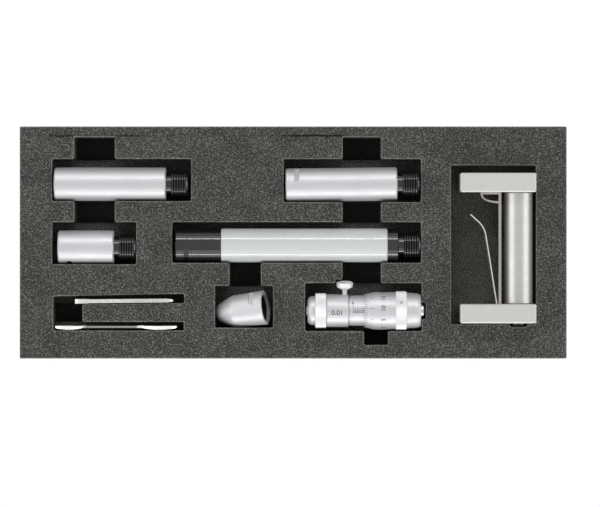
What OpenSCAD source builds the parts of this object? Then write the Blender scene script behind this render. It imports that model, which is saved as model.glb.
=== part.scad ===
// Set of inside micrometer parts lying in a cut foam insert.
// Origin at the middle of the insert's underside. X runs along the long side, Y across the
// short side, Z up. Every tool lies with its axis near X, except the setting gauge, whose bar
// runs along Y.

/* [Foam insert] */
// Foam left of the rod pockets
margin_left = 14.6; // [10:0.1:20]
// Foam right of the gauge pocket
margin_right = 13.85; // [10:0.1:20]
// Foam above the first row of pockets
margin_top = 14.65; // [10:0.1:20]
// Foam below the third row of pockets
margin_bottom = 12.4; // [10:0.1:20]
// Foam between the first and second rows
web_rows_12 = 9.6; // [7:0.1:14]
// Foam between the second and third rows
web_rows_23 = 8.65; // [7:0.1:14]
// Foam between the two pockets of the second row
web_row_2 = 16.35; // [12:0.1:20]
// Foam between the rod pockets and the gauge pocket
web_gauge = 13.6; // [10:0.1:18]
// Thickness of the upper layer, which the pockets are cut through
cut_t = 12; // [10:0.5:18]
// Thickness of the layer that the tools lie on
floor_t = 10; // [6:0.5:14]
// Thickness of the black sheet under the foam
sheet_t = 2; // [1:0.5:3]

/* [Finger recesses] */
// Width of the left finger recess
recess_a_w = 18; // [14:0.5:19]
// Left edge of the left finger recess, from the left edge of the rod pockets
recess_a_in = 9.9; // [8:0.1:12]
// Width of the middle finger recess
recess_b_w = 17; // [14:0.5:19]
// Right edge of the middle finger recess, from the right edge of the rod pockets
recess_b_in = 17.95; // [15:0.1:22]
// Foam left between the finger recesses and the upper edge of the insert
recess_rim = 4.9; // [3:0.1:8]
// Width of the recess above the end cap
recess_cap_w = 13.9; // [11:0.1:15]
// Left edge of the recess above the end cap, from the left edge of the cap's pocket
recess_cap_in = 6.5; // [5:0.1:8]
// Width of the recess below the head
recess_head_w = 10.6; // [8:0.1:14]
// Reach of the recess below the head pocket
recess_head_reach = 6.3; // [5:0.1:8]
// Width of the finger recess of the two spanners
recess_spanner_w = 12.9; // [10:0.1:14]

/* [Extension rods] */
// Outer diameter of the tubes
tube_d = 15; // [14.6:0.1:15.4]
// How far the pale tube of the longest rod stands proud of its dark ends
long_tube_step = 0.15; // [0:0.05:0.3]
// Length of the shortest rod
rod_short = 25; // [22:0.5:26]
// Length of the two middle rods
rod_mid = 50; // [46:0.5:52]
// Length of the longest rod
rod_long = 100; // [96:0.5:108]
// Bore of the tubes
tube_bore = 9; // [8:0.1:9.4]
// Diameter of the measuring cores
core_d = 6; // [5:0.1:6.4]
// Radial clearance of sliding and turning fits
run_gap = 0.05; // [0.02:0.01:0.1]
// Outer diameter of the male threads
thread_d = 12; // [11:0.1:12.4]
// Radial clearance between male and female threads
thread_gap = 0.15; // [0.1:0.05:0.3]
// Pitch of the threads
thread_pitch = 1; // [0.7:0.05:1.2]
// Depth of the thread form
thread_depth = 0.45; // [0.2:0.05:0.5]
// Length of the male thread
thread_l = 7.4; // [6:0.1:8.6]
// Diameter of the smooth neck behind the male thread
neck_d = 9.8; // [9:0.1:10.2]
// Length of the smooth neck
neck_l = 2.4; // [1.5:0.1:3]
// Length of the shank that a male end has in its tube
shank_l = 7; // [5:0.5:9]
// Length of the guide bush inside a tube
bush_l = 4; // [3:0.5:5]
// Length of the dark socket on the longest rod
socket_part_l = 20.5; // [17:0.5:24]
// Length of the dark collar on the longest rod
collar_l = 4.9; // [3:0.1:8]
// Width of the spanner slots
key_slot_w = 2.1; // [1.6:0.1:2.6]
// Depth of the spanner slots
key_slot_depth = 1.0; // [0.6:0.1:1.1]
// Middle of the spanner slots, from the end of the tube
key_slot_in = 5; // [4:0.1:7]
// Free width of a rod pocket beside its rod
pocket_side_gap = 3.7; // [3:0.1:5]
// Gap between a tool and the lower wall of its pocket
lean_gap = 0.1; // [0.05:0.05:0.4]
// How much higher the lower wall of the longest rod's pocket lies
long_wall_up = 0.65; // [0:0.05:1]
// How much lower the lower wall of the right middle rod's pocket lies
right_wall_down = 0.45; // [0:0.05:1]
// Turn of the right middle rod in its pocket, in degrees
rod_yaw = 0.6; // [0:0.1:0.8]

/* [Micrometer head] */
// Outer diameter of the head body
body_d = 14.9; // [14.4:0.1:15.4]
// Length of the head body
body_l = 9.8; // [8.5:0.1:11]
// Diameter of the left contact
contact_d = 4.6; // [4:0.1:5]
// Length of the left contact in front of the nose
contact_l = 0.6; // [0.4:0.1:1]
// Diameter of the nose
nose_d = 13.1; // [12:0.1:13.6]
// Length of the nose
nose_l = 3.4; // [3:0.1:5]
// Diameter of the knurled clamp ring
clamp_d = 15.7; // [15.4:0.1:16.4]
// Length of the knurled clamp ring
clamp_l = 5.2; // [4:0.1:6]
// Diameter of the graduated sleeve
sleeve_d = 13.7; // [13:0.1:14]
// Free sleeve between the body and the thimble at zero
sleeve_free = 2; // [1:0.1:3]
// Opening that the head is set to while it is stored
reading = 5; // [4:0.5:6]
// Diameter of the thimble
thimble_d = 16.8; // [16.4:0.1:17.2]
// Diameter of the bevelled edge of the thimble
bevel_d = 14.9; // [14.8:0.1:15.4]
// Length of the bevel
bevel_l = 4.6; // [3:0.1:6]
// Length of the thimble in front of its knurled ring
thimble_l = 14; // [13:0.1:16]
// Diameter of the knurled ring on the thimble
ring_d = 17.5; // [17.2:0.1:18.2]
// Length of the knurled ring on the thimble
ring_l = 5.1; // [4:0.1:6]
// Larger diameter of the end piece
end_d = 16.2; // [15.6:0.1:16.6]
// Length of the end piece
end_l = 6.3; // [5:0.1:7.5]
// Diameter of the spindle
spindle_d = 6.3; // [5.6:0.1:6.6]
// Length of the spindle tip in front of the end piece
tip_l = 1.7; // [1.2:0.1:2]
// Diameter of the lock screw stem
lock_stem_d = 2.1; // [1.8:0.1:2.6]
// Diameter of the lock screw head
lock_head_d = 7.3; // [6.4:0.1:7.8]
// Distance from the head axis to the outer face of the lock screw
lock_reach = 13.1; // [12.6:0.1:13.6]
// Tilt of the lock screw above the level, in degrees
lock_tilt = 11; // [6:1:14]
// Pitch of the knurls
knurl_pitch = 0.6; // [0.5:0.05:1]
// Depth of the knurls
knurl_depth = 0.15; // [0.1:0.05:0.25]
// Free width of the head pocket above the head
head_side_gap = 3.8; // [3:0.1:5]

/* [End cap] */
// Diameter of the cap at its mouth
cap_mouth_d = 15.4; // [15.2:0.1:15.8]
// Diameter of the cap at its shoulder
cap_shoulder_d = 14.4; // [14.2:0.1:14.8]
// Length of the cap
cap_l = 22.6; // [21.5:0.1:23.2]
// Length of the nose of the cap in front of its shoulder
cap_nose_l = 8.6; // [7:0.1:9.6]
// Diameter of the blunt end of the cap
cap_tip_d = 5.2; // [4:0.1:6]
// Tilt of the cap where it lies, in degrees
cap_tilt = 15; // [12:1:16]
// Turn of the cap in its pocket, in degrees
cap_yaw = 7.5; // [4:0.5:8]

/* [Setting gauge] */
// Distance between the jaws
gauge_gap = 50; // [46:0.5:51]
// Thickness of a jaw
jaw_w = 8.5; // [7.5:0.1:9]
// Length of a jaw
jaw_l = 33.8; // [31:0.1:35]
// Height of a jaw
jaw_h = 20; // [18:0.5:22]
// Bevel along the edges of the jaws
jaw_bevel = 0.5; // [0.2:0.1:0.8]
// Diameter of the bar
bar_d = 12.8; // [11:0.1:13.6]
// Middle of the bar, from the right end of the jaws
bar_in = 7.4; // [7:0.1:9]
// Diameter of the screw head on the near jaw
gauge_screw_d = 6.4; // [5.4:0.1:7.4]
// Height of the screw head on the near jaw
gauge_screw_h = 1.2; // [0.8:0.1:1.4]
// Thickness of the spring band beside the bar
band_t = 1.2; // [0.8:0.1:1.4]
// Height of the band and the leaf
band_h = 10; // [8:0.5:12]
// Middle of the band, from the right end of the jaws
band_in = 15.9; // [15:0.1:16.6]
// Thickness of the leaf
leaf_t = 0.5; // [0.4:0.1:0.8]
// Free width of the gauge pocket left of the jaws
gauge_gap_left = 3.7; // [3:0.1:5]
// Free length of the gauge pocket beyond the far jaw
gauge_gap_far = 3.4; // [2:0.1:5]

/* [Spanners] */
// Length of the hook spanner
hook_l = 44.7; // [40:0.1:48]
// Thickness of the hook spanner at its hook
hook_t = 2; // [1.6:0.1:2.2]
// Thickness of the handle of the hook spanner
hook_handle_t = 1.7; // [1.3:0.1:1.8]
// Turn of the hook spanner in its slot, in degrees
hook_yaw = 0.5; // [0:0.1:0.6]
// Length of the open-end spanner
open_l = 54; // [50:0.1:56]
// Thickness of the ends of the open-end spanner
open_t = 1.6; // [1.3:0.1:2]
// Thickness of the shank of the open-end spanner
open_shank_t = 0.9; // [0.7:0.1:1]
// Opening of the larger end
open_jaw = 8; // [6:0.5:8.5]
// Opening of the smaller end
open_jaw_small = 6; // [4:0.5:6.5]
// Free width of a spanner slot in the foam
slot_gap = 1.4; // [1:0.1:2]

/* [Hidden] */
$fn = 96;

silver = [0.80, 0.80, 0.81];
satin = [0.72, 0.72, 0.73];
blackened = [0.16, 0.16, 0.16];
pale_grey = [0.78, 0.79, 0.79];
foam_grey = [0.24, 0.24, 0.23];
foam_dark = [0.17, 0.17, 0.16];
sheet_black = [0.06, 0.06, 0.06];
spring_steel = [0.66, 0.65, 0.62];

// Heights
z_floor = sheet_t + floor_t;
rest_gap = 0.05;

// Lengths that follow from the pieces
male_l = neck_l + thread_l;
long_tube_d = tube_d + 2 * long_tube_step;
socket_l = male_l + 0.2;
head_l = contact_l + nose_l + clamp_l + body_l + sleeve_free + reading + thimble_l + ring_l
  + end_l;
gauge_l = gauge_gap + 2 * jaw_w;
pocket_w = tube_d + pocket_side_gap;
head_pocket_w = max(clamp_d, ring_d) + head_side_gap;

// Gaps at the left and right ends of each pocket
gap_50_left = [0.85, 1.45];
gap_50_right = [0.8, 0.75];
gap_25 = [2.5, 0.2];
gap_100 = [1.25, 0.25];
gauge_gap_right = 0.35;
gauge_gap_near = 0.5;
head_gap = [0.4, 0.25];
notch_gap = 0.4;

function pocket_l(rod_l, gap) = rod_l + male_l + gap[0] + gap[1];
pocket_25_l = pocket_l(rod_short, gap_25);
pocket_100_l = pocket_l(rod_long, gap_100);
gauge_pocket_w = jaw_l + gauge_gap_left + gauge_gap_right;

// Outside of the insert
tray_l = margin_left + pocket_25_l + web_row_2 + pocket_100_l + web_gauge + gauge_pocket_w
  + margin_right;
tray_w = margin_top + 2 * pocket_w + web_rows_12 + web_rows_23 + head_pocket_w
  + margin_bottom;

// Columns
x_left = -tray_l / 2 + margin_left;
x_100 = x_left + pocket_25_l + web_row_2;
x_right = x_100 + pocket_100_l;
x_50_right = x_right - pocket_l(rod_mid, gap_50_right);
x_gauge = x_right + web_gauge;
x_head = x_right - head_l;

// Rows, named by the lower wall of each
y_row_1 = tray_w / 2 - margin_top - pocket_w;
y_row_2 = y_row_1 - web_rows_12 - pocket_w;
y_row_3 = y_row_2 - web_rows_23 - head_pocket_w;
y_gauge = y_row_3 + 3.1;

// Axes of the tools
z_rod = z_floor + rest_gap + tube_d / 2;
y_rod_1 = y_row_1 + lean_gap + tube_d / 2;
y_rod_50_right = y_rod_1 - right_wall_down;
y_rod_25 = y_row_2 + lean_gap + tube_d / 2;
y_rod_100 = y_row_2 + long_wall_up + lean_gap + long_tube_d / 2;
z_rod_100 = z_floor + rest_gap + long_tube_d / 2;
z_head = z_floor + rest_gap + max(clamp_d, ring_d) / 2;
y_head = y_row_3 + lean_gap + 0.15 + max(clamp_d, ring_d) / 2;

// Turn of each spanner slot from straight up, in degrees
key_turn_50_left = -112;
key_turn_50_right = 40;
key_turn_25 = -86;
key_turn_100 = -43;
key_turn_cap = 45;

// Places of the rods' left ends
x_rod_50_left = x_left + gap_50_left[0];
x_rod_50_right = x_50_right + gap_50_right[0];
x_rod_25 = x_left + gap_25[0];
x_rod_100 = x_100 + gap_100[0];

// Places along the head, from its left contact
u_ring = contact_l + nose_l;
u_body = u_ring + clamp_l;
u_sleeve = u_body + body_l;
u_thimble = u_sleeve + sleeve_free + reading;
u_thimble_ring = u_thimble + thimble_l;
u_end = u_thimble_ring + ring_l;
spigot_d = tube_bore + 1.4;
sleeve_bore = spindle_d + 2 * run_gap;
u_sleeve_end = u_thimble_ring - 0.4;
u_spindle = u_body + 1.5;
contact_shank = u_spindle - reading - u_ring - 0.3;
u_lock = u_sleeve - 1.7;
thimble_bore = sleeve_d + 0.3;
pad_r = spindle_d / 2 + run_gap + 0.05;
pad_l = 1.2;
nut_l = 4;
nut_bore = 9.2;
u_nut = u_sleeve_end - nut_l;

// Spanners
hook_h = 13;
hook_in_r = tube_d / 2 + 0.1;
hook_arm_t = 3.2;
hook_handle_w = 6;
hook_tooth_l = 1;
open_h = 14;
open_head_left_l = 12.2;
open_head_right_l = 15.3;
open_jaw_l = 7;
open_jaw_end = 1.5;
open_neck_l = 1.8;
open_neck_w = 8;
open_shank_w = 6;
open_bow = 0.75;
slot_in = 0.5;
hook_in = 9.8;
open_in = 1.6;
hook_end_gap = 4.5;
open_end_gap = 3.2;
slot_pitch = 11.75;
y_slot_2 = y_row_3 + 0.25;
slot_2_w = open_t + slot_gap + 0.7;
y_slot_1 = y_slot_2 + slot_pitch;
slot_1_w = hook_t + slot_gap;
slot_1_rise = [0.55, 1.1];
slot_ledge = 0.25;
slot_end_1 = hook_in + hook_l + hook_end_gap;
slot_end_2 = open_in + open_l + open_end_gap;

// Cap pocket
cap_pocket_in = 73;
cap_pocket_gap = 1.98;
cap_pocket_l = cap_l * cos(cap_tilt) + cap_mouth_d / 2 * sin(cap_tilt) + cap_pocket_gap;
cap_pocket_up = 1.5;
web_cap = 9.9;
cap_x0 = x_left + cap_pocket_in;
cap_x1 = cap_x0 + cap_pocket_l;
cap_y0 = y_row_3 + cap_pocket_up;
cap_y1 = y_row_2 - web_cap;

// Outline of the cap, as distance along its axis and radius
cap_profile = [[0, cap_tip_d / 2], [0.35, cap_tip_d / 2 + 0.75], [1.2, cap_tip_d / 2 + 1.5],
  [cap_nose_l * 0.4, cap_shoulder_d / 2 - 2.0], [cap_nose_l * 0.7, cap_shoulder_d / 2 - 0.8],
  [cap_nose_l * 0.9, cap_shoulder_d / 2 - 0.16], [cap_nose_l, cap_shoulder_d / 2],
  [cap_l - 0.3, cap_mouth_d / 2], [cap_l, cap_mouth_d / 2 - 0.3]];

// The cap lies on the bed and against the lower wall of its pocket, on its shoulder
cap_end_in = 1;
cap_aside = cos(cap_tilt) * sin(cap_yaw);
cap_end_off = lean_gap + max([for (p = cap_profile)
  p[1] * sqrt(1 - cap_aside * cap_aside) - p[0] * cap_aside]);
cap_end_up = rest_gap + max([for (p = cap_profile) p[1] * cos(cap_tilt) - p[0] * sin(cap_tilt)]);

// A box with its lower left corner at the origin and all edges bevelled by c
module bevel_box(l, w, h, c) {
  intersection() {
    linear_extrude(h) bevel_rect(l, w, c);
    translate([0, w, 0]) rotate([90, 0, 0]) linear_extrude(w) bevel_rect(l, h, c);
    rotate([90, 0, 90]) linear_extrude(l) bevel_rect(w, h, c);
  }
}

module bevel_rect(l, w, c) {
  polygon([[c, 0], [l - c, 0], [l, c], [l, w - c], [l - c, w], [c, w], [0, w - c], [0, c]]);
}

// A body of revolution about X, from a list of [distance along X, radius]
module lathe(profile) {
  rotate([90, 0, 90]) rotate_extrude() polygon([for (p = profile) [p[1], p[0]]]);
}

// Round bar along X from a to b, with bevelled ends
module round_bar(a, b, d, c) {
  lathe([[a, 0], [a, d / 2 - c], [a + c, d / 2], [b - c, d / 2], [b, d / 2 - c], [b, 0]]);
}

module bore(a, b, d) {
  translate([a, 0, 0]) rotate([0, 90, 0]) cylinder(d = d, h = b - a);
}

// Points of a thread cut as rings from a to b, with crest radius r and depth t
function rings(a, b, r, t) = let (n = floor((b - a) / thread_pitch))
  [for (i = [0 : n - 1]) for (p = [[0, -t], [0.35, 0], [0.65, 0], [1, -t]])
    if (!(i > 0 && p[0] == 0)) [a + (i + p[0]) * (b - a) / n, r + p[1]]];

// Straight knurl: a toothed round outline about X
module knurl(a, b, d) {
  n = round(PI * d / knurl_pitch);
  intersection() {
    translate([a, 0, 0]) rotate([90, 0, 90]) linear_extrude(b - a)
      polygon([for (i = [0 : 2 * n - 1])
        (d / 2 - (i % 2) * knurl_depth) * [cos(i * 180 / n), sin(i * 180 / n)]]);
    round_bar(a, b, d + 0.02, 0.4);
  }
}

// Cross slot for the hook spanner, at angle t from straight up, turned towards +Y
module key_slot(u, r, t) {
  translate([u - key_slot_w / 2, 0, 0]) rotate([-t, 0, 0])
    translate([0, -r, r - key_slot_depth]) cube([key_slot_w, 2 * r, 4]);
}

// Female thread: an open bore with ring grooves
module female_thread(l) {
  r = thread_d / 2 + thread_gap;
  lathe(concat([[-1, 0], [-1, r + 0.4], [0, r + 0.4], [0.4, r]],
    rings(0.8, l - 1.2, r, -thread_depth * 0.8), [[l, r], [l, 0]]));
}

module tube_body(l, t) {
  difference() {
    round_bar(0, l, tube_d, 0.5);
    female_thread(socket_l);
    bore(socket_l - 1, l + 1, tube_bore);
    key_slot(key_slot_in, tube_d / 2, t);
  }
}

// Male end: shank in the tube, optional collar, neck and thread
module male_end(l, collar) {
  difference() {
    lathe(concat([[l - collar - shank_l, 0], [l - collar - shank_l, tube_bore / 2],
      [l - collar, tube_bore / 2]],
      collar > 0 ? [[l - collar, tube_d / 2], [l - 0.4, tube_d / 2], [l, tube_d / 2 - 0.4]] : [],
      [[l, neck_d / 2], [l + neck_l, neck_d / 2]],
      rings(l + neck_l, l + male_l - 0.6, thread_d / 2, thread_depth),
      [[l + male_l, thread_d / 2 - 0.8], [l + male_l, 0]]));
    bore(l - collar - shank_l - 1, l + male_l + 1, core_d + 2 * run_gap);
  }
}

module guide_bush() {
  difference() {
    bore(socket_l, socket_l + bush_l, tube_bore);
    bore(socket_l - 1, socket_l + bush_l + 1, core_d + 2 * run_gap);
  }
}

module core_rod(l) {
  round_bar(socket_l - 0.2, l + male_l, core_d, 0.5);
}

// Places of the four rods
module at_50_left() translate([x_rod_50_left, y_rod_1, z_rod]) children();
module at_50_right()
  translate([x_rod_50_right, y_rod_50_right, z_rod]) rotate([0, 0, rod_yaw]) children();
module at_25() translate([x_rod_25, y_rod_25, z_rod]) children();
module at_100() translate([x_rod_100, y_rod_100, z_rod_100]) children();

module rod_50_left_tube() { color(silver) at_50_left() tube_body(rod_mid, key_turn_50_left); }
module rod_50_left_end() { color(blackened) at_50_left() male_end(rod_mid, 0); }
module rod_50_left_bush() { color(satin) at_50_left() guide_bush(); }
module rod_50_left_core() { color(satin) at_50_left() core_rod(rod_mid); }

module rod_50_right_tube() { color(silver) at_50_right() tube_body(rod_mid, key_turn_50_right); }
module rod_50_right_end() { color(blackened) at_50_right() male_end(rod_mid, 0); }
module rod_50_right_bush() { color(satin) at_50_right() guide_bush(); }
module rod_50_right_core() { color(satin) at_50_right() core_rod(rod_mid); }

module rod_25_tube() { color(silver) at_25() tube_body(rod_short, key_turn_25); }
module rod_25_end() { color(blackened) at_25() male_end(rod_short, 0); }
module rod_25_bush() { color(satin) at_25() guide_bush(); }
module rod_25_core() { color(satin) at_25() core_rod(rod_short); }

// The longest rod has a dark socket and collar, and a pale tube pressed between them
spigot_l = 6;
module rod_100_socket() {
  color(blackened) at_100() difference() {
    lathe([[0, 0], [0, tube_d / 2 - 0.4], [0.4, tube_d / 2], [socket_part_l, tube_d / 2],
      [socket_part_l, tube_bore / 2 + 1], [socket_part_l + spigot_l, tube_bore / 2 + 1],
      [socket_part_l + spigot_l, 0]]);
    female_thread(socket_l);
    bore(socket_l - 1, socket_part_l + spigot_l + 1, tube_bore);
    key_slot(key_slot_in, tube_d / 2, key_turn_100);
  }
}

module rod_100_tube() {
  color(pale_grey) at_100() difference() {
    round_bar(socket_part_l, rod_long - collar_l, long_tube_d, 0.3);
    bore(socket_part_l - 1, socket_part_l + spigot_l, tube_bore + 2);
    bore(socket_part_l - 1, rod_long, tube_bore);
  }
}

module rod_100_end() { color(blackened) at_100() male_end(rod_long, collar_l); }
module rod_100_bush() { color(satin) at_100() guide_bush(); }
module rod_100_core() { color(satin) at_100() core_rod(rod_long); }

// End cap. Its own axis runs along X from the blunt end to the mouth.
module at_cap() {
  translate([cap_x0 + cap_end_in, cap_y0 + cap_end_off, z_floor + cap_end_up])
    rotate([0, 0, cap_yaw]) rotate([0, -cap_tilt, 0]) children();
}

cap_core_l = cap_l - socket_l;
cap_core_d = 4;

module end_cap_shell() {
  color(silver) at_cap() difference() {
    lathe(concat([[0, 0]], cap_profile, [[cap_l, 0]]));
    translate([cap_l, 0, 0]) mirror([1, 0, 0]) female_thread(socket_l);
    bore(-1, cap_core_l + 1, cap_core_d);
    key_slot(cap_l - key_slot_in, cap_mouth_d / 2 - 0.1, key_turn_cap);
  }
}

module end_cap_contact() {
  color(satin) at_cap() lathe([[0, 0], [0, cap_core_d / 2], [cap_core_l, cap_core_d / 2],
    [cap_core_l, core_d / 2], [cap_core_l + 0.8, core_d / 2], [cap_core_l + 1, core_d / 2 - 0.2],
    [cap_core_l + 1, 0]]);
}

// Micrometer head. Its own axis runs along X from the left contact to the spindle tip.
module at_head() translate([x_head, y_head, z_head]) children();

// Drilling of the lock screw: a radial hole at distance u along the head
module at_lock(u) translate([u, 0, 0]) rotate([lock_tilt - 90, 0, 0]) children();

module head_contact() {
  color(silver) at_head() lathe([[0, 0], [0, contact_d / 2 - 0.2], [0.2, contact_d / 2],
    [contact_l, contact_d / 2], [contact_l, nose_d / 2 - 1.5], [contact_l + 0.35, nose_d / 2 - 0.8],
    [contact_l + 1.3, nose_d / 2 - 0.15], [contact_l + 2, nose_d / 2], [u_ring, nose_d / 2],
    [u_ring, tube_bore / 2], [u_ring + contact_shank, tube_bore / 2], [u_ring + contact_shank, 0]]);
}

module head_clamp_ring() {
  color(silver) at_head() difference() {
    knurl(u_ring, u_body - 0.1, clamp_d);
    bore(u_ring - 1, u_body + 1, spigot_d);
  }
}

module head_body() {
  color(silver) at_head() difference() {
    lathe([[u_ring, 0], [u_ring, spigot_d / 2], [u_body, spigot_d / 2],
      [u_body, body_d / 2 - 0.2], [u_body + 0.2, body_d / 2], [u_sleeve - 0.3, body_d / 2],
      [u_sleeve, body_d / 2 - 0.3], [u_sleeve, 0]]);
    bore(u_ring - 1, u_sleeve, tube_bore);
    bore(u_body + 1.5, u_sleeve + 1, spigot_d);
    at_lock(u_lock) cylinder(d = lock_stem_d + 2 * run_gap, h = body_d);
  }
}

module head_sleeve() {
  color(silver) at_head() difference() {
    lathe([[u_body + 1.5, 0], [u_body + 1.5, spigot_d / 2], [u_sleeve, spigot_d / 2],
      [u_sleeve, sleeve_d / 2 - 0.5], [u_sleeve + 0.5, sleeve_d / 2 - 0.5],
      [u_sleeve + 0.5, sleeve_d / 2],
      [u_nut, sleeve_d / 2], [u_nut, nut_bore / 2], [u_sleeve_end, nut_bore / 2],
      [u_sleeve_end, 0]]);
    bore(u_body, u_sleeve_end + 1, sleeve_bore);
    at_lock(u_lock) cylinder(d = lock_stem_d + 2 * run_gap, h = body_d);
  }
}

module head_adjusting_nut() {
  color(satin) at_head() difference() {
    knurl(u_nut, u_sleeve_end, sleeve_d - 1);
    bore(u_nut - 1, u_sleeve_end + 1, nut_bore);
  }
}

module head_lock_screw() {
  color(silver) at_head() at_lock(u_lock) difference() {
    rotate_extrude() polygon([[0, pad_r + pad_l], [lock_stem_d / 2, pad_r + pad_l],
      [lock_stem_d / 2, lock_reach - 3.6], [lock_head_d / 2 - 0.35, lock_reach - 2.3],
      [lock_head_d / 2, lock_reach - 2], [lock_head_d / 2, lock_reach - 0.3],
      [lock_head_d / 2 - 0.3, lock_reach], [0, lock_reach]]);
    translate([0, 0, lock_reach - 0.5]) cylinder(d = lock_head_d - 1.8, h = 1);
  }
}

module head_lock_pad() {
  color("gold") at_head() at_lock(u_lock)
    translate([0, 0, pad_r]) cylinder(d = lock_stem_d, h = pad_l - 0.05);
}

module head_spindle() {
  color(satin) at_head() lathe([[u_spindle, 0], [u_spindle, spindle_d / 2 - 0.4],
    [u_spindle + 0.4, spindle_d / 2], [head_l + tip_l - 0.6, spindle_d / 2],
    [head_l + tip_l - 0.15, spindle_d / 2 - 0.5], [head_l + tip_l, spindle_d / 2 - 1.1],
    [head_l + tip_l, 0]]);
}

module thimble() {
  color(silver) at_head() difference() {
    lathe([[u_thimble, 0], [u_thimble, bevel_d / 2], [u_thimble + bevel_l, thimble_d / 2],
      [u_thimble_ring, thimble_d / 2], [u_thimble_ring, thimble_bore / 2 + 0.6],
      [u_end, thimble_bore / 2 + 0.6], [u_end, 0]]);
    bore(u_thimble - 1, u_end + 1, thimble_bore);
  }
}

module thimble_ring() {
  color(silver) at_head() difference() {
    knurl(u_thimble_ring, u_end, ring_d);
    bore(u_thimble_ring - 1, u_end + 1, thimble_bore + 1.2);
  }
}

module thimble_end() {
  color(silver) at_head() difference() {
    lathe([[u_end, 0], [u_end, end_d / 2], [head_l - 1.6, end_d / 2 - 0.3],
      [head_l - 0.3, end_d / 2 - 0.7], [head_l, end_d / 2 - 1], [head_l, 0]]);
    bore(u_end - 1, head_l + 1, spindle_d + 2 * run_gap);
  }
}

// Setting gauge. Its corner at the left end of the near jaw's outer face is the local origin.
gauge_x = x_gauge + gauge_gap_left;
gauge_y = y_gauge + gauge_gap_near;
gauge_z = z_floor + rest_gap;
module at_gauge() translate([gauge_x, gauge_y, gauge_z]) children();
bar_x = jaw_l - bar_in;
band_x = jaw_l - band_in;
far_face = jaw_w + gauge_gap;
seat = 1.2;
bar_spigot_d = bar_d - 4;
bar_in_far = jaw_w - 1.5;
screw_d = 3;
screw_in = 8;

module band_slots() {
  translate([band_x - band_t / 2, jaw_w - seat, (jaw_h - band_h) / 2])
    cube([band_t, seat + 1, band_h]);
  translate([leaf_x - leaf_slot, jaw_w - seat, (jaw_h - leaf_h) / 2 - 0.2])
    cube([2 * leaf_slot, seat + 1, leaf_h + 0.4]);
}

// Foot of the leaf, beside the band on the near jaw
leaf_gap = 0.5;
leaf_x = band_x - band_t / 2 - leaf_gap - leaf_t / 2;
leaf_slot = leaf_t / 2 + 0.2;
leaf_seat = seat - 0.3;
leaf_h = band_h - 1;

module gauge_jaw_near() {
  color(satin) at_gauge() difference() {
    bevel_box(jaw_l, jaw_w, jaw_h, jaw_bevel);
    translate([bar_x, -1, jaw_h / 2]) rotate([-90, 0, 0]) cylinder(d = screw_d, h = jaw_w + 2);
    translate([bar_x, jaw_w - seat, jaw_h / 2]) rotate([-90, 0, 0])
      cylinder(d = bar_spigot_d, h = 3);
    band_slots();
  }
}

module gauge_jaw_far() {
  color(satin) at_gauge() difference() {
    translate([0, far_face, 0]) bevel_box(jaw_l, jaw_w, jaw_h, jaw_bevel);
    translate([bar_x, far_face - 1, jaw_h / 2]) rotate([-90, 0, 0])
      cylinder(d = bar_spigot_d, h = 1 + bar_in_far);
  }
}

module gauge_bar() {
  color(silver) at_gauge() translate([bar_x, 0, jaw_h / 2]) rotate([-90, 0, 0])
    difference() {
      rotate_extrude() polygon([[0, jaw_w - seat], [bar_spigot_d / 2, jaw_w - seat],
        [bar_spigot_d / 2, jaw_w], [bar_d / 2 - 0.4, jaw_w], [bar_d / 2, jaw_w + 0.4],
        [bar_d / 2, far_face - 0.4], [bar_d / 2 - 0.4, far_face], [bar_spigot_d / 2, far_face],
        [bar_spigot_d / 2, far_face + bar_in_far], [0, far_face + bar_in_far]]);
      translate([0, 0, jaw_w - seat - 1]) cylinder(d = screw_d, h = screw_in + 3);
    }
}

module gauge_screw() {
  color(satin) at_gauge() translate([bar_x, 0, jaw_h / 2]) rotate([-90, 0, 0])
    difference() {
      rotate_extrude() polygon([[0, -gauge_screw_h], [gauge_screw_d / 2 - 0.5, -gauge_screw_h],
        [gauge_screw_d / 2, 0.4 - gauge_screw_h], [gauge_screw_d / 2, 0], [screw_d / 2, 0],
        [screw_d / 2, jaw_w + screw_in], [0, jaw_w + screw_in]]);
      translate([-gauge_screw_d / 2, -0.4, -gauge_screw_h - 1])
        cube([gauge_screw_d, 0.8, 1.5]);
    }
}

// A strip of thickness t along the points p, as one outline
function side(p, t, s) = [for (i = [0 : len(p) - 1]) let (
    a = p[max(i - 1, 0)], b = p[min(i + 1, len(p) - 1)],
    d = b - a, n = [-d[1], d[0]] / norm(d)) p[i] + s * t / 2 * n];
module strip_outline(p, t) {
  left = side(p, t, 1);
  right = side(p, t, -1);
  polygon(concat(left, [for (i = [len(right) - 1 : -1 : 0]) right[i]]));
}

// The band stands in the near jaw, runs beside the bar and closes in a loop at the far jaw
loop_w = 8.7;
loop_h = 5;
loop_t = 1;

// Half an oval that hangs from the line y = 0, w wide and h deep, with its deepest point at x = 0
module half_oval(w, h) {
  polygon(concat([[0, 0]], [for (a = [0 : 7.5 : 90]) [-w * cos(a), -h * pow(sin(a), 0.75)]]));
}

module gauge_band() {
  left = band_x - band_t / 2;
  color(spring_steel) at_gauge() translate([0, 0, (jaw_h - band_h) / 2])
    linear_extrude(band_h) difference() {
      union() {
        translate([left, jaw_w - seat]) square([band_t, gauge_gap + seat]);
        translate([band_x, far_face]) half_oval(loop_w, loop_h);
      }
      translate([left, far_face - loop_t])
        half_oval(loop_w - band_t / 2 - loop_t, loop_h - 2 * loop_t);
    }
}

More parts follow.
